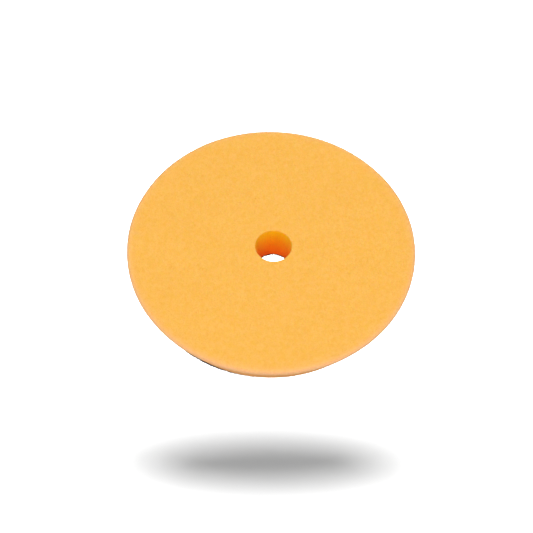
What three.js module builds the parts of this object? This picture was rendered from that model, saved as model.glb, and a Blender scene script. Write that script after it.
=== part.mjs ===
// Foam polishing pad: a tapered foam disc with a hook-and-loop backing glued to its small end.
//
// Frame: millimetres, +Z along the pad's axis. The origin is the centre of the loop face, which
// grips the polisher's backing plate, and +Z points from there to the working face, which meets
// the paint. Bottom to top the pad is a laminate of four discs with one hole through them all:
// loop pile, knitted backing fabric, adhesive film and foam.

import * as THREE from 'three';

// Driving dimensions, in millimetres.
const FACE_DIAMETER = 150; // widest point of the foam, at the working face's rim
const BACK_DIAMETER = 130; // small end of the foam, and the backing disc glued to it
const TOTAL_THICKNESS = 24.5; // loop face to working face
const HOLE_DIAMETER = 19; // centring and cooling hole, straight through all four layers
const RIM_RADIUS = 2; // rounding of the working face's outer rim
const HOLE_RIM_RADIUS = 0.5; // rounding where the hole meets the working face

// The backing's layers, in millimetres.
const PILE_HEIGHT = 1.1; // loops standing off the knitted fabric
const FABRIC_THICKNESS = 0.5; // knitted ground that holds the loops
const ADHESIVE_THICKNESS = 0.2; // hot-melt film between fabric and foam

// Facets: around the axis, where a multiple of four puts vertices on the X and Y axes, and along
// each rounded edge of the foam's section.
const FACETS_AROUND = 128;
const RIM_FACETS_BELOW = 2; // from the taper up to the widest point
const RIM_FACETS_ABOVE = 6; // from the widest point to the working face
const HOLE_RIM_FACETS = 3;

// Heights of the layers' joints.
const FABRIC_BOTTOM = PILE_HEIGHT;
const ADHESIVE_BOTTOM = FABRIC_BOTTOM + FABRIC_THICKNESS;
const FOAM_BOTTOM = ADHESIVE_BOTTOM + ADHESIVE_THICKNESS;

const FACE_RADIUS = FACE_DIAMETER / 2;
const BACK_RADIUS = BACK_DIAMETER / 2;
const HOLE_RADIUS = HOLE_DIAMETER / 2;

const FINISHES = {
  foam: { color: 0xfdbd59, roughness: 0.9, metalness: 0 },
  adhesive: { color: 0xe4cfa4, roughness: 0.5, metalness: 0 },
  fabric: { color: 0x3d3b3d, roughness: 0.9, metalness: 0 },
  pile: { color: 0x4b494b, roughness: 0.95, metalness: 0 },
};

// Points of a circular arc in the half-plane (distance from the axis, height), ends included.
function arc(centre, radius, fromAngle, toAngle, steps) {
  const points = [];
  for (let i = 0; i <= steps; i += 1) {
    const angle = THREE.MathUtils.lerp(fromAngle, toAngle, i / steps);
    const spoke = new THREE.Vector2(Math.cos(angle), Math.sin(angle)).multiplyScalar(radius);
    points.push(spoke.add(centre));
  }
  return points;
}

// Section of the foam, counter-clockwise from the bottom of the hole's wall: back face, straight
// taper up to the rim's rounding, working face, and the hole's rounded mouth.
function foamSection() {
  const rimCentre = new THREE.Vector2(FACE_RADIUS - RIM_RADIUS, TOTAL_THICKNESS - RIM_RADIUS);
  const mouthHeight = TOTAL_THICKNESS - HOLE_RIM_RADIUS;
  const mouthCentre = new THREE.Vector2(HOLE_RADIUS + HOLE_RIM_RADIUS, mouthHeight);
  const backCorner = new THREE.Vector2(BACK_RADIUS, FOAM_BOTTOM);

  // The taper leaves the back corner along the line that touches the rim's rounding.
  const toCentre = rimCentre.clone().sub(backCorner);
  const taperAngle = toCentre.angle() - Math.asin(RIM_RADIUS / toCentre.length());
  const touchAngle = taperAngle - Math.PI / 2;

  return [
    new THREE.Vector2(HOLE_RADIUS, FOAM_BOTTOM),
    backCorner,
    ...arc(rimCentre, RIM_RADIUS, touchAngle, 0, RIM_FACETS_BELOW),
    ...arc(rimCentre, RIM_RADIUS, 0, Math.PI / 2, RIM_FACETS_ABOVE).slice(1),
    ...arc(mouthCentre, HOLE_RIM_RADIUS, Math.PI / 2, Math.PI, HOLE_RIM_FACETS),
  ];
}

// Section of a flat layer of the backing, from the hole to the backing's edge.
function layerSection(bottom, thickness) {
  const top = bottom + thickness;
  return [
    new THREE.Vector2(HOLE_RADIUS, bottom),
    new THREE.Vector2(BACK_RADIUS, bottom),
    new THREE.Vector2(BACK_RADIUS, top),
    new THREE.Vector2(HOLE_RADIUS, top),
  ];
}

// A named disc turned from its section about the group's Y axis.
function turned(name, section, finish) {
  const closedSection = [...section, section[0].clone()];
  const geometry = new THREE.LatheGeometry(closedSection, FACETS_AROUND);
  const mesh = new THREE.Mesh(geometry, new THREE.MeshStandardMaterial(finish));
  mesh.name = name;
  return mesh;
}

function loopPile() {
  return turned('loop_pile', layerSection(0, PILE_HEIGHT), FINISHES.pile);
}

function backingFabric() {
  const section = layerSection(FABRIC_BOTTOM, FABRIC_THICKNESS);
  return turned('backing_fabric', section, FINISHES.fabric);
}

function adhesiveFilm() {
  const section = layerSection(ADHESIVE_BOTTOM, ADHESIVE_THICKNESS);
  return turned('adhesive_film', section, FINISHES.adhesive);
}

function foamPad() {
  return turned('foam_pad', foamSection(), FINISHES.foam);
}

const polishingPad = new THREE.Group();
polishingPad.name = 'polishing_pad';
polishingPad.add(loopPile(), backingFabric(), adhesiveFilm(), foamPad());
polishingPad.rotation.x = Math.PI / 2; // stands the turning axis, local Y, along +Z

export default polishingPad;
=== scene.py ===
"""The looks of a foam polishing pad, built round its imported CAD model.

Metres, +Z from the loop face (z = 0) to the working face. Each CAD node is replaced by a piece of the
same size with the real surface: cut foam with its cells and voids, a squeezed-out adhesive film, a
knitted backing fabric, and a pile of separate yarn loops.
"""

import math
import random

import bpy
import numpy as np
from mathutils import Euler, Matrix, Quaternion, Vector, noise


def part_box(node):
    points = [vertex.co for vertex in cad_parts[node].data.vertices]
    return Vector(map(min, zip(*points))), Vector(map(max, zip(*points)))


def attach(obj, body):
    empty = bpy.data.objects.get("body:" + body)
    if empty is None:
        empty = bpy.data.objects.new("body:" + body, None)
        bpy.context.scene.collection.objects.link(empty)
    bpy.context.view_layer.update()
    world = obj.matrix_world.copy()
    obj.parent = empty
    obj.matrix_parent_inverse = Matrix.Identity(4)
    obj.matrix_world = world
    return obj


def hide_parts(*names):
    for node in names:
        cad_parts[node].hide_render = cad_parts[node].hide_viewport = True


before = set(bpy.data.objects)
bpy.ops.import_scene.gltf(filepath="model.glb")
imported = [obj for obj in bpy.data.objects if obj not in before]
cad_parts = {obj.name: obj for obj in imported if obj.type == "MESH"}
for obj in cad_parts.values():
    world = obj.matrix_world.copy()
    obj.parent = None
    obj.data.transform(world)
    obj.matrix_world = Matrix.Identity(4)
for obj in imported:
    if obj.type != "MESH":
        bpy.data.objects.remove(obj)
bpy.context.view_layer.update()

MM = 0.001
DEGREE = math.pi / 180

# Shape of the pad, read from the CAD nodes.
FOAM_LOW, FOAM_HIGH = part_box("foam_pad")
ADHESIVE_LOW, ADHESIVE_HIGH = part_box("adhesive_film")
FABRIC_LOW, FABRIC_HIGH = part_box("backing_fabric")
PILE_LOW, PILE_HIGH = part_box("loop_pile")
FACE_RADIUS = FOAM_HIGH.x
BACK_RADIUS = FABRIC_HIGH.x
HOLE_RADIUS = min(math.hypot(v.co.x, v.co.y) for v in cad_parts["foam_pad"].data.vertices)

# Rounded edges of the foam, and the centres of their arcs as (radius, height).
RIM_RADIUS = 2.0 * MM
MOUTH_RADIUS = 0.5 * MM
RIM_CENTRE = (FACE_RADIUS - RIM_RADIUS, FOAM_HIGH.z - RIM_RADIUS)
MOUTH_CENTRE = (HOLE_RADIUS + MOUTH_RADIUS, FOAM_HIGH.z - MOUTH_RADIUS)

# Facets of the meshes: side of a triangle, and steps along a rounded edge.
FACET = 0.62 * MM
HIDDEN_FACET = 6.0 * MM  # on faces glued to the next layer
ADHESIVE_EDGE_FACET = 0.8 * MM
FABRIC_EDGE_FACET = 0.5 * MM
FABRIC_FACET = 0.9 * MM
FEWEST_AROUND = 24
RIM_STEPS = 11
MOUTH_STEPS = 4

# Relief of the foam's cut surface, each with its depth and its length along the surface.
SWAY, SWAY_LENGTH = 0.10 * MM, 22 * MM
GRAIN, GRAIN_LENGTH = 0.09 * MM, 1.3 * MM
VOID_RADIUS, VOID_PITCH = 0.55 * MM, 6.5 * MM
FOAM_OVERHANG = 0.45 * MM  # the soft foam swells past the film that holds its back

# Where the foam changes its tone, and where its painted sheen and shade fade.
CELL_SIZE = 0.42 * MM
RIM_FADE = 1.4 * MM  # painted pale sheen on the rim, fading inwards and down the side
SIDE_FADE = 2.0 * MM  # from the rim down to the side's full painted shade

# Relief of the backing's layers: depth, length along the surface, and reach inwards from an edge.
SQUEEZE, SQUEEZE_LENGTH, SQUEEZE_REACH = 0.05 * MM, 3.0 * MM, 0.05 * MM
FRAY, FRAY_LENGTH, FRAY_REACH = 0.15 * MM, 1.1 * MM, 0.2 * MM
RIB, RIB_LENGTH = 0.06 * MM, 0.9 * MM
LAYER_BULGE = 0.6  # rounding of a layer's edge, as a share of half its thickness

# The fabric is laid on by hand, and the hole is punched through all layers, a little off centre.
BACKING_SHIFT = Vector((-2.5, 0.3, 0.0)) * MM
HOLE_SHIFT = Vector((1.15, 0.15, 0.0)) * MM
BACKING_HOLE = HOLE_SHIFT - BACKING_SHIFT  # the hole's centre, from the centre of the fabric

# Loops of yarn on the back: rows of stitches, and one more row along each cut edge. A loop strays
# from its place by up to a share of the pitch.
COURSE_PITCH, COURSE_STRAY = 1.42 * MM, 0.22
WALE_PITCH, WALE_STRAY = 1.64 * MM, 0.2
EDGE_PITCH, EDGE_STRAY = 0.7 * MM, 0.3
EDGE_INSET = 0.35 * MM
LOOP_SEED = 11
LOOP_WIDTH = 1.25 * MM
LOOP_BELLY = 0.35  # how much wider a loop is halfway up, as a share of its width
YARN_RADIUS = 0.17 * MM
LOOP_STEPS = 5
YARN_SIDES = 3
EDGE_HEIGHT = 0.7  # share of its height that a loop keeps at a cut edge
EDGE_RISE = 0.2 / MM  # and how fast it regains the rest, away from that edge

# Camera, as the photograph was taken.
CAMERA_ELEVATION = 56.9 * DEGREE
CAMERA_ROLL = -1.57 * DEGREE
CAMERA_DISTANCE = 841.2 * MM
CAMERA_LENS, CAMERA_SENSOR = 109.5, 36  # millimetres
PAD_RIGHT_OF_AXIS = 0.168 * DEGREE
PAD_ABOVE_AXIS = 0.732 * DEGREE

# Floor: far enough below for the shadow to lie clear of the pad.
FLOOR_DEPTH = 230 * MM
FLOOR_SIZE = 8.0
FLOOR_LIT_TONE = 0.074  # for the light it throws up at the pad
FLOOR_SEEN_TONE = 0.34  # for the camera
GLOW_START, GLOW_FULL = 0.4, 1.0  # distances from the pad over which the seen floor turns to white

# Strength of the white room: as light on the pad, and as the camera sees it.
ROOM_LIGHT = 0.79
ROOM_SEEN = 1.2

# The flag, an unseen oval card that shades the floor from the floor's own light.
FLAG_PLACE = Vector((1.2, -2.2, -30.0)) * MM
FLAG_WIDTH, FLAG_LENGTH = 312 * MM, 86 * MM
FLAG_TURN = 1.3 * DEGREE
FLAG_CORNERS = 96


# ---------------------------------------------------------------- mesh helpers


def line(start, end, facet):
    """Evenly spaced points (radius, height, facet) from start up to, but not including, end."""
    steps = max(1, math.ceil(math.dist(start, end) / facet))
    points = []
    for i in range(steps):
        radius = start[0] + (end[0] - start[0]) * i / steps
        height = start[1] + (end[1] - start[1]) * i / steps
        points.append((radius, height, facet))
    return points


def arc(centre, radius, start_angle, end_angle, steps, facet):
    """Points along an arc in the (radius, height) plane, the last one left out."""
    angles = [start_angle + (end_angle - start_angle) * i / steps for i in range(steps)]
    return [(centre[0] + radius * math.cos(a), centre[1] + radius * math.sin(a), facet) for a in angles]


def zip_rings(lower, upper):
    """Triangles between two rings of vertex numbers that may hold different counts."""
    triangles = []
    i = j = 0
    while i < len(lower) or j < len(upper):
        below, above = lower[i % len(lower)], upper[j % len(upper)]
        lower_is_behind = (i + 1) * len(upper) <= (j + 1) * len(lower)
        if j == len(upper) or (i < len(lower) and lower_is_behind):
            triangles.append((below, lower[(i + 1) % len(lower)], above))
            i += 1
        else:
            triangles.append((below, upper[(j + 1) % len(upper)], above))
            j += 1
    return triangles


def section_normals(section):
    """Outward direction at each point of a counter-clockwise closed section."""
    normals = []
    for i in range(len(section)):
        before = section[i - 1]
        after = section[(i + 1) % len(section)]
        along = Vector((after[0] - before[0], after[1] - before[1])).normalized()
        normals.append((along.y, -along.x))
    return normals


def turned_mesh(name, section, relief):
    """A closed mesh turned from a section, its vertices moved outwards by relief(point)."""
    vertices, rings = [], []
    for (radius, height, facet), (out, up) in zip(section, section_normals(section)):
        count = max(FEWEST_AROUND, round(2 * math.pi * radius / facet))
        ring = []
        for i in range(count):
            turn = 2 * math.pi * i / count
            point = Vector((radius * math.cos(turn), radius * math.sin(turn), height))
            shift = relief(point)
            reach = radius + shift * out
            ring.append(len(vertices))
            vertices.append((reach * math.cos(turn), reach * math.sin(turn), height + shift * up))
        rings.append(ring)
    triangles = []
    for i, ring in enumerate(rings):
        triangles += zip_rings(ring, rings[(i + 1) % len(rings)])
    mesh = bpy.data.meshes.new(name)
    mesh.from_pydata(vertices, [], triangles)
    mesh.validate()
    mesh.shade_smooth()
    return mesh


def shift_hole(mesh, shift):
    """Moves the hole sideways, and the surface round it less and less out to the back's edge."""
    for vertex in mesh.vertices:
        radius = math.hypot(vertex.co.x, vertex.co.y)
        share = (BACK_RADIUS - radius) / (BACK_RADIUS - HOLE_RADIUS)
        vertex.co += shift * min(1.0, max(0.0, share))


def add_piece(name, mesh, material, node, place=(0.0, 0.0, 0.0)):
    """Shows a mesh in place of a CAD node."""
    piece = bpy.data.objects.new(name, mesh)
    piece.location = place
    bpy.context.scene.collection.objects.link(piece)
    mesh.materials.append(material)
    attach(piece, "root")
    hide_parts(node)


def set_attribute(mesh, name, values):
    """Stores one number per vertex, for the material to read by name."""
    attribute = mesh.attributes.new(name, "FLOAT", "POINT")
    attribute.data.foreach_set("value", np.asarray(values, np.float32))


# ---------------------------------------------------------------- material helpers


class Nodes:
    """A short way to wire the nodes of one Principled material."""

    def __init__(self, name):
        self.material = bpy.data.materials.new(name)
        self.material.use_nodes = True
        self.tree = self.material.node_tree
        self.shader = self.tree.nodes["Principled BSDF"]
        self.position = self.add("ShaderNodeTexCoord").outputs["Object"]

    def add(self, kind, inputs=None, **settings):
        """A new node with these settings, and with its inputs linked or set."""
        node = self.tree.nodes.new(kind)
        for key, value in settings.items():
            setattr(node, key, value)
        for key, value in (inputs or {}).items():
            self.feed(node.inputs[key], value)
        return node

    def feed(self, socket, value):
        """Links another node's output to a socket, or sets a plain value on it."""
        if isinstance(value, bpy.types.NodeSocket):
            self.tree.links.new(value, socket)
        else:
            socket.default_value = value

    def math(self, operation, a, b=0.0):
        """The result of one arithmetic step."""
        return self.add("ShaderNodeMath", {0: a, 1: b}, operation=operation).outputs[0]

    def noise(self, size, detail=2.0, roughness=0.5):
        """Noise from about 0 to 1 whose blotches are about size metres across."""
        inputs = {"Vector": self.position, "Scale": 1 / size, "Detail": detail, "Roughness": roughness}
        return self.add("ShaderNodeTexNoise", inputs).outputs["Fac"]

    def clouds(self, size, detail=2.0, roughness=0.5):
        """The same noise, stretched so that it fills 0 to 1."""
        return self.spread(self.noise(size, detail, roughness), 0.3, 0.7)

    def spread(self, value, low, high, to_low=0.0, to_high=1.0):
        """Maps low..high to to_low..to_high, and holds the value at either end."""
        inputs = {"Value": value, "From Min": low, "From Max": high, "To Min": to_low, "To Max": to_high}
        return self.add("ShaderNodeMapRange", inputs).outputs["Result"]

    def mix(self, factor, a, b):
        """Colour a where factor is 0, and colour b where it is 1."""
        inputs = {"Factor": factor, "A": a, "B": b}
        return self.add("ShaderNodeMix", inputs, data_type="RGBA").outputs["Result"]

    def attribute(self, name):
        """The number that set_attribute stored on the mesh."""
        return self.add("ShaderNodeAttribute", attribute_name=name).outputs["Fac"]

    def bump(self, height, depth, strength=1.0, under=None):
        """A normal bent by a height from 0 to 1 that stands for depth metres, over another bump."""
        inputs = {"Height": height, "Distance": depth, "Strength": strength}
        if under is not None:
            inputs["Normal"] = under
        return self.add("ShaderNodeBump", inputs).outputs["Normal"]

    def set(self, **inputs):
        """Feeds the shader's inputs, named with _ for a space, and gives back the material."""
        for key, value in inputs.items():
            self.feed(self.shader.inputs[key.replace("_", " ")], value)
        return self.material


def colour(red, green, blue):
    """A linear colour from its 0 to 255 screen values."""

    def linear(value):
        share = value / 255
        return share / 12.92 if share <= 0.04045 else ((share + 0.055) / 1.055) ** 2.4

    return (linear(red), linear(green), linear(blue), 1.0)


def grey(tone):
    """A linear grey."""
    return (tone, tone, tone, 1.0)


# ---------------------------------------------------------------- materials


def foam_material():
    """Fine-celled orange foam: struts stand over cell mouths painted darker as shade, the cut rims carry
    a painted pale sheen, and the tapered side carries painted shade.

    The hole's wall is painted a deeper orange that darkens down the hole: painted shade, and a painted
    glow for light that bounces in the hole and passes through the foam.
    """
    n = Nodes("orange_foam")
    cell = {"Vector": n.position, "Scale": 1 / CELL_SIZE, "Randomness": 0.9}
    wall_distance = n.add("ShaderNodeTexVoronoi", cell, feature="DISTANCE_TO_EDGE").outputs["Distance"]
    cell_tone = n.add("ShaderNodeTexVoronoi", cell, feature="F1").outputs["Color"]
    mouths = n.spread(wall_distance, 0.04, 0.34)
    painted_mouth_shade = n.math("MULTIPLY", mouths, n.spread(cell_tone, 0.2, 0.8, 0.15, 0.6))
    blotches = n.clouds(14 * MM, 3.0)
    flecks = n.clouds(2.1 * MM, 1.0)
    lumps = n.clouds(0.9 * MM, 3.0, 0.6)
    body = n.mix(blotches, colour(231, 174, 74), colour(232, 176, 76))
    body = n.mix(flecks, body, colour(235, 180, 89))
    # Painted shade: the tapered side turns a deeper, darker orange where it faces down, away from the
    # light.
    body = n.mix(n.math("MULTIPLY", n.attribute("side"), 0.8), body, colour(230, 151, 90))
    # Painted sheen: the rounded rim turns a pale pinkish orange, for the light it catches at grazing
    # angles.
    painted_rim_sheen = n.spread(n.attribute("rim"), 0.0, 0.8, 0.0, 0.7)
    body = n.mix(painted_rim_sheen, body, colour(236, 182, 142))
    depth = n.attribute("bore")
    # Painted shade and glow in the hole: the wall turns from a bright to a deep, dark orange down the
    # hole.
    wall = n.mix(depth, colour(255, 200, 4), colour(255, 88, 0))
    body = n.mix(n.spread(depth, 0.0, 0.06), body, wall)
    # Painted shade in the cell mouths: the open cells are a darker orange.
    body = n.mix(n.math("MULTIPLY", painted_mouth_shade, 0.8), body, colour(204, 120, 20))
    relief = n.bump(n.spread(wall_distance, 0.34, 0.04), 0.06 * MM, 0.8)
    relief = n.bump(lumps, 0.1 * MM, 0.8, relief)
    return n.set(
        Base_Color=body,
        Roughness=n.spread(flecks, 0, 1, 0.82, 0.95),
        Normal=relief,
        Specular_IOR_Level=0.05,
        Subsurface_Weight=0.25,
        Subsurface_Radius=(1.0, 0.4, 0.1),
        Subsurface_Scale=3 * MM,
        Sheen_Weight=0.03,
        Sheen_Roughness=0.6,
        Sheen_Tint=(1.0, 0.86, 0.72, 1.0),
    )


def adhesive_material():
    """Hot-melt film: clear amber, slightly glossy, with a rippled edge."""
    n = Nodes("hot_melt_film")
    ripples = n.noise(1.2 * MM, 3.0)
    haze = n.clouds(5 * MM, 2.0)
    return n.set(
        Base_Color=n.mix(haze, colour(186, 146, 92), colour(204, 168, 116)),
        Roughness=n.spread(ripples, 0.3, 0.7, 0.28, 0.5),
        Normal=n.bump(ripples, 0.1 * MM, 0.5),
        Specular_IOR_Level=0.4,
    )


def knit_material():
    """Warp-knitted ground fabric: ribs of stitches in dark grey yarn."""
    n = Nodes("knitted_backing")
    axes = n.add("ShaderNodeSeparateXYZ", {"Vector": n.position}).outputs
    wale = n.math("SINE", n.math("MULTIPLY", axes["X"], 2 * math.pi / WALE_PITCH))
    slant = n.math("MULTIPLY", n.math("ABSOLUTE", wale), 2.0)
    along = n.math("MULTIPLY", axes["Y"], 4 * math.pi / COURSE_PITCH)
    course = n.math("SINE", n.math("ADD", along, slant))
    stitches = n.spread(n.math("ADD", wale, course), -2, 2)
    fuzz = n.clouds(0.25 * MM, 3.0)
    # Painted shade: darker where the stitches dip, lighter on their ribs.
    tone = n.mix(stitches, colour(34, 33, 36), colour(70, 68, 72))
    tone = n.mix(n.math("MULTIPLY", fuzz, 0.3), tone, colour(88, 85, 90))
    relief = n.bump(stitches, 0.15 * MM, 0.8)
    relief = n.bump(fuzz, 0.05 * MM, 0.5, relief)
    return n.set(
        Base_Color=tone,
        Roughness=n.spread(fuzz, 0, 1, 0.8, 0.95),
        Normal=relief,
        Specular_IOR_Level=0.2,
        Sheen_Weight=0.2,
        Sheen_Roughness=0.5,
        Sheen_Tint=(0.8, 0.8, 0.85, 1.0),
    )


def yarn_material():
    """Yarn of the loops: grey nylon filaments, each loop a little lighter or darker."""
    n = Nodes("loop_yarn")
    filaments = n.clouds(0.12 * MM, 3.0)
    tone = n.mix(n.attribute("shade"), colour(58, 56, 59), colour(104, 101, 105))
    tone = n.mix(n.math("MULTIPLY", filaments, 0.35), tone, colour(128, 124, 128))
    return n.set(
        Base_Color=tone,
        Roughness=n.spread(filaments, 0, 1, 0.6, 0.85),
        Normal=n.bump(filaments, 0.03 * MM, 0.6),
        Specular_IOR_Level=0.35,
        Sheen_Weight=0.25,
        Sheen_Roughness=0.4,
        Sheen_Tint=(0.85, 0.85, 0.9, 1.0),
    )


# ---------------------------------------------------------------- foam


def foam_section():
    """The foam's outline: hidden back, taper, rounded rim, working face, rounded mouth and hole."""
    back_corner = (BACK_RADIUS + FOAM_OVERHANG, FOAM_LOW.z)
    to_rim = Vector(RIM_CENTRE) - Vector(back_corner)
    taper_angle = math.atan2(to_rim.y, to_rim.x) - math.asin(RIM_RADIUS / to_rim.length)
    touch_angle = taper_angle - math.pi / 2
    touch = (
        RIM_CENTRE[0] + RIM_RADIUS * math.cos(touch_angle),
        RIM_CENTRE[1] + RIM_RADIUS * math.sin(touch_angle),
    )
    hole_bottom = (HOLE_RADIUS, FOAM_LOW.z)
    return [
        *line(hole_bottom, back_corner, HIDDEN_FACET),
        *line(back_corner, touch, FACET),
        *arc(RIM_CENTRE, RIM_RADIUS, touch_angle, math.pi / 2, RIM_STEPS, FACET),
        *line((RIM_CENTRE[0], FOAM_HIGH.z), (MOUTH_CENTRE[0], FOAM_HIGH.z), FACET),
        *arc(MOUTH_CENTRE, MOUTH_RADIUS, math.pi / 2, math.pi, MOUTH_STEPS, FACET / 2),
        *line((HOLE_RADIUS, MOUTH_CENTRE[1]), hole_bottom, FACET),
    ]


def void_depth(point):
    """Depth of the pit where the knife cut open a void wider than the foam's own cells."""
    distances, _ = noise.voronoi(point / VOID_PITCH)
    inside = VOID_RADIUS**2 - (distances[0] * VOID_PITCH) ** 2
    return math.sqrt(inside) if inside > 0 else 0.0


def foam_relief(point):
    """How far the cut foam stands proud of its nominal surface. The glued back stays flat."""
    if point.z <= FOAM_LOW.z:
        return 0.0
    sway = SWAY * noise.noise(point / SWAY_LENGTH)
    grain = GRAIN * noise.noise(point / GRAIN_LENGTH)
    return sway + grain - void_depth(point)


def rim_nearness(point):
    """Share of the painted rim sheen: 1 on the widest line of the rounded rim, fading to 0 inwards over
    the face and down the side.
    """
    inwards = FACE_RADIUS - math.hypot(point.x, point.y)
    down = RIM_CENTRE[1] - point.z
    return math.exp(-max(inwards, down, 0.0) / RIM_FADE)


def painted_side_shade(point):
    """Share of the painted shade: 0 on the working face, the rim and the hole's wall, rising to 1 down
    the tapered side.
    """
    if math.hypot(point.x, point.y) < BACK_RADIUS - MM:
        return 0.0
    return min(1.0, max(0.0, (RIM_CENTRE[1] - point.z) / SIDE_FADE))


def bore_depth(point):
    """0 on the outside, and on the hole's wall the share of the way down from its mouth."""
    if math.hypot(point.x, point.y) > HOLE_RADIUS + MOUTH_RADIUS / 2:
        return 0.0
    return (FOAM_HIGH.z - point.z) / (FOAM_HIGH.z - FOAM_LOW.z)


def build_foam():
    """The foam disc, with the shares that its material reads."""
    mesh = turned_mesh("foam", foam_section(), foam_relief)
    set_attribute(mesh, "rim", [rim_nearness(v.co) for v in mesh.vertices])
    set_attribute(mesh, "side", [painted_side_shade(v.co) for v in mesh.vertices])
    set_attribute(mesh, "bore", [bore_depth(v.co) for v in mesh.vertices])
    shift_hole(mesh, HOLE_SHIFT)
    add_piece("foam", mesh, foam_material(), "foam_pad")


# ---------------------------------------------------------------- backing


def layer_section(low, high, edge_facet, lower_facet):
    """Outline of a flat layer of the backing, with both edges slightly rounded."""
    middle = (low.z + high.z) / 2
    bulge = (high.z - low.z) / 2 * LAYER_BULGE
    return [
        *line((HOLE_RADIUS + bulge, low.z), (BACK_RADIUS - bulge, low.z), lower_facet),
        (BACK_RADIUS - bulge, low.z, edge_facet),
        (BACK_RADIUS, middle, edge_facet),
        *line((BACK_RADIUS - bulge, high.z), (HOLE_RADIUS + bulge, high.z), HIDDEN_FACET),
        (HOLE_RADIUS + bulge, high.z, edge_facet),
        (HOLE_RADIUS, middle, edge_facet),
    ]


def edge_distance(point):
    """Distance of a point of a centred layer from its nearest edge, outer or hole."""
    radius = math.hypot(point.x, point.y)
    return min(abs(radius - BACK_RADIUS), abs(radius - HOLE_RADIUS))


def adhesive_relief(point):
    """The film squeezes out unevenly at its edges and stays flat between the glued faces."""
    if edge_distance(point) >= SQUEEZE_REACH:
        return 0.0
    return SQUEEZE * (1 + noise.noise(point / SQUEEZE_LENGTH))


def knit_relief(point):
    """Ribs of the knitted ground on its lower side, and a slightly frayed cut edge."""
    if edge_distance(point) < FRAY_REACH:
        return FRAY * noise.noise(point / FRAY_LENGTH)
    if point.z > FABRIC_LOW.z:
        return 0.0
    return -RIB * (1 + noise.noise(point / RIB_LENGTH))


def build_adhesive():
    """The film, centred under the foam."""
    section = layer_section(ADHESIVE_LOW, ADHESIVE_HIGH, ADHESIVE_EDGE_FACET, HIDDEN_FACET)
    mesh = turned_mesh("adhesive", section, adhesive_relief)
    shift_hole(mesh, HOLE_SHIFT)
    add_piece("adhesive", mesh, adhesive_material(), "adhesive_film")


def build_fabric():
    """The knitted ground, laid on a little off centre."""
    section = layer_section(FABRIC_LOW, FABRIC_HIGH, FABRIC_EDGE_FACET, FABRIC_FACET)
    mesh = turned_mesh("fabric", section, knit_relief)
    shift_hole(mesh, BACKING_HOLE)
    add_piece("fabric", mesh, knit_material(), "backing_fabric", BACKING_SHIFT)


def loop_shape():
    """One loop of yarn as a closed tube: vertices with width and height of 1, offsets, triangles."""
    path, offsets, triangles = [], [], []
    for step in range(LOOP_STEPS + 1):
        turn = math.pi * step / LOOP_STEPS
        belly = 1 + LOOP_BELLY * math.sin(turn)
        centre = (-0.5 * math.cos(turn) * belly, 0.0, -math.sin(turn))
        outward = Vector((-math.cos(turn), 0.0, -math.sin(turn)))
        for side in range(YARN_SIDES):
            around = 2 * math.pi * side / YARN_SIDES
            path.append(centre)
            offsets.append(tuple(outward * math.cos(around) + Vector((0, math.sin(around), 0))))
    for step in range(LOOP_STEPS):
        for side in range(YARN_SIDES):
            a = step * YARN_SIDES + side
            b = step * YARN_SIDES + (side + 1) % YARN_SIDES
            c, d = a + YARN_SIDES, b + YARN_SIDES
            triangles += [(a, c, b), (b, c, d)]
    last = LOOP_STEPS * YARN_SIDES
    triangles += [(0, 1, 2), (last, last + 2, last + 1)]
    return np.array(path), np.array(offsets), np.array(triangles)


def inside_ring(x, y):
    """How far a place on the backing is from its nearest edge, outer or hole; negative beyond it."""
    from_hole = np.hypot(x - BACKING_HOLE.x, y - BACKING_HOLE.y) - HOLE_RADIUS
    return np.minimum(BACK_RADIUS - np.hypot(x, y), from_hole)


def stitch_places(rng):
    """Where the loops of the rows of stitches stand, each a little off its place."""
    reach = math.ceil(BACK_RADIUS / COURSE_PITCH)
    places = []
    for row in range(-reach, reach + 1):
        for column in range(-reach, reach + 1):
            x = (column + 0.5 * (row % 2) + rng.uniform(-WALE_STRAY, WALE_STRAY)) * WALE_PITCH
            y = (row + rng.uniform(-COURSE_STRAY, COURSE_STRAY)) * COURSE_PITCH
            if inside_ring(x, y) > YARN_RADIUS:
                places.append((x, y))
    return places


def edge_places(rng, centre, radius):
    """Where the loops along one cut edge stand."""
    count = round(2 * math.pi * radius / EDGE_PITCH)
    places = []
    for i in range(count):
        turn = 2 * math.pi * (i + rng.uniform(-EDGE_STRAY, EDGE_STRAY)) / count
        places.append((centre.x + radius * math.cos(turn), centre.y + radius * math.sin(turn)))
    return places


def standing_loop(rng, path, offsets, x, y):
    """One loop of its own size, lean and turn, standing at a place and cut short at the edges."""
    inside = inside_ring(x, y)
    tallest = (PILE_HIGH.z - PILE_LOW.z - YARN_RADIUS) * min(1.0, EDGE_HEIGHT + EDGE_RISE * inside)
    width = LOOP_WIDTH * rng.uniform(0.7, 1.1)
    height = tallest * rng.uniform(0.72, 1.0)
    yarn = YARN_RADIUS * rng.uniform(0.85, 1.15)
    lean = rng.uniform(-0.1, 1.1)
    turn = rng.gauss(0.0, 0.7)
    shape = path * np.array([width, 0.0, height]) + offsets * yarn
    shape[:, 1] += shape[:, 2] * lean
    across = shape[:, 0] * math.cos(turn) - shape[:, 1] * math.sin(turn)
    along = shape[:, 0] * math.sin(turn) + shape[:, 1] * math.cos(turn)
    beyond = np.minimum(inside_ring(across + x, along + y), 0)
    kept = inside / (inside - beyond)
    return np.stack([across * kept + x, along * kept + y, shape[:, 2] + PILE_HIGH.z], axis=1)


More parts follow.
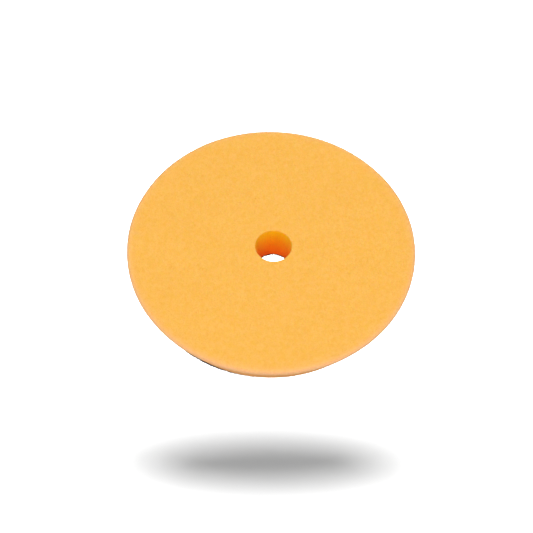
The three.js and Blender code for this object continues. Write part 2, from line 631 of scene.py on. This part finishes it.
def build_pile():
    """All the loops of yarn in one mesh, placed with the fabric that they are knitted into."""
    rng = random.Random(LOOP_SEED)
    path, offsets, triangles = loop_shape()
    places = stitch_places(rng)
    places += edge_places(rng, Vector(), BACK_RADIUS - EDGE_INSET)
    places += edge_places(rng, BACKING_HOLE, HOLE_RADIUS + EDGE_INSET)
    vertices, shades = [], []
    for x, y in places:
        vertices.append(standing_loop(rng, path, offsets, x, y))
        shades.append(np.full(len(path), rng.random()))
    first_vertices = np.arange(len(places))[:, None, None] * len(path)
    faces = (triangles[None] + first_vertices).reshape(-1, 3)
    mesh = bpy.data.meshes.new("loops")
    mesh.from_pydata(np.concatenate(vertices).tolist(), [], faces.tolist())
    mesh.shade_smooth()
    set_attribute(mesh, "shade", np.concatenate(shades))
    add_piece("loops", mesh, yarn_material(), "loop_pile", BACKING_SHIFT)


# ---------------------------------------------------------------- stage, light and camera


def floor_material():
    """A white studio table: matte, lifted to white for the camera, and not seen from below."""
    n = Nodes("studio_white")
    seen = n.add("ShaderNodeLightPath").outputs["Is Camera Ray"]
    geometry = n.add("ShaderNodeNewGeometry").outputs
    length = n.add("ShaderNodeVectorMath", {0: geometry["Position"]}, operation="LENGTH")
    far = n.spread(length.outputs["Value"], GLOW_START, GLOW_FULL)
    n.set(
        Base_Color=n.mix(seen, grey(FLOOR_LIT_TONE), grey(FLOOR_SEEN_TONE)),
        Roughness=0.9,
        Emission_Color=grey(1.0),
        Emission_Strength=n.math("MULTIPLY", seen, far),
    )
    clear = n.add("ShaderNodeBsdfTransparent").outputs[0]
    from_below = n.math("MULTIPLY", seen, geometry["Backfacing"])
    surface = n.add("ShaderNodeMixShader", {0: from_below, 1: n.shader.outputs[0], 2: clear})
    n.feed(n.tree.nodes["Material Output"].inputs["Surface"], surface.outputs[0])
    return n.material


def add_stage_card(name, corners):
    """A flat face that belongs to the studio, not to the pad."""
    mesh = bpy.data.meshes.new(name)
    mesh.from_pydata(corners, [], [tuple(range(len(corners)))])
    card = bpy.data.objects.new(name, mesh)
    bpy.context.scene.collection.objects.link(card)
    return card


def build_floor():
    """The table top, well below the pad."""
    half = FLOOR_SIZE / 2
    corners = [(-half, -half, 0), (half, -half, 0), (half, half, 0), (-half, half, 0)]
    floor = add_stage_card("floor", corners)
    floor.data.materials.append(floor_material())
    floor.location.z = -FLOOR_DEPTH
    return floor


def build_flag():
    """The unseen card under the pad, which gives the floor its flat oval shadow."""
    turns = [2 * math.pi * i / FLAG_CORNERS for i in range(FLAG_CORNERS)]
    corners = [(FLAG_WIDTH / 2 * math.cos(turn), FLAG_LENGTH / 2 * math.sin(turn), 0) for turn in turns]
    flag = add_stage_card("flag", corners)
    flag.location = FLAG_PLACE
    flag.rotation_euler.z = FLAG_TURN
    flag.visible_camera = False
    flag.visible_diffuse = False
    flag.visible_glossy = False
    flag.visible_transmission = False
    return flag


def collection_of(name, member):
    """A collection of one object, as a light's list of what it lights or of what shades it."""
    collection = bpy.data.collections.new(name)
    collection.objects.link(member)
    return collection


def add_softbox(name, place, width, depth, watts):
    """An oval softbox aimed at the pad."""
    light = bpy.data.lights.new(name, "AREA")
    light.shape = "ELLIPSE"
    light.size = width
    light.size_y = depth
    light.energy = watts
    softbox = bpy.data.objects.new(name, light)
    softbox.location = place
    softbox.rotation_euler = Vector(place).to_track_quat("Z", "Y").to_euler()
    bpy.context.scene.collection.objects.link(softbox)
    return softbox


def build_room():
    """A white room that lights the pad evenly and looks plain white to the camera."""
    world = bpy.data.worlds.new("studio")
    bpy.context.scene.world = world
    world.use_nodes = True
    tree = world.node_tree
    path = tree.nodes.new("ShaderNodeLightPath")
    strength = tree.nodes.new("ShaderNodeMapRange")
    strength.inputs["To Min"].default_value = ROOM_LIGHT
    strength.inputs["To Max"].default_value = ROOM_SEEN
    tree.links.new(path.outputs["Is Camera Ray"], strength.inputs["Value"])
    background = tree.nodes["Background"]
    background.inputs["Color"].default_value = grey(1.0)
    tree.links.new(strength.outputs["Result"], background.inputs["Strength"])


def build_lights(floor, flag):
    """Softboxes by the camera, at the side and overhead, and one that whitens the floor alone."""
    add_softbox("front_softbox", (-0.3, -1.5, 2.0), width=0.7, depth=0.7, watts=22.5)
    add_softbox("side_softbox", (1.5, -0.6, 1.8), width=0.7, depth=0.7, watts=6.0)
    add_softbox("overhead_softbox", (0.0, 0.0, 1.2), width=0.8, depth=0.8, watts=2.0)
    floor_light = add_softbox("floor_softbox", (0.0, 0.0, 1.2), width=1.66, depth=0.59, watts=200.0)
    floor_light.light_linking.receiver_collection = collection_of("lit_by_floor_softbox", floor)
    floor_light.light_linking.blocker_collection = collection_of("shading_floor_softbox", flag)


def build_camera():
    """The camera looks down at the working face; the pad sits just off its axis."""
    data = bpy.data.cameras.new("camera")
    data.lens = CAMERA_LENS
    data.sensor_width = CAMERA_SENSOR
    camera = bpy.data.objects.new("camera", data)
    towards = Vector((0, -math.cos(CAMERA_ELEVATION), math.sin(CAMERA_ELEVATION)))
    camera.location = Vector((0, 0, FOAM_HIGH.z)) + towards * CAMERA_DISTANCE
    facing = towards.to_track_quat("Z", "Y")
    roll = Quaternion((0, 0, 1), -CAMERA_ROLL)
    turn = Euler((-PAD_ABOVE_AXIS, PAD_RIGHT_OF_AXIS, 0)).to_quaternion()
    camera.rotation_mode = "QUATERNION"
    camera.rotation_quaternion = facing @ roll @ turn
    bpy.context.scene.collection.objects.link(camera)
    bpy.context.scene.camera = camera


build_foam()
build_adhesive()
build_fabric()
build_pile()
floor = build_floor()
flag = build_flag()
build_room()
build_lights(floor, flag)
build_camera()
bpy.context.scene.view_settings.view_transform = "Standard"
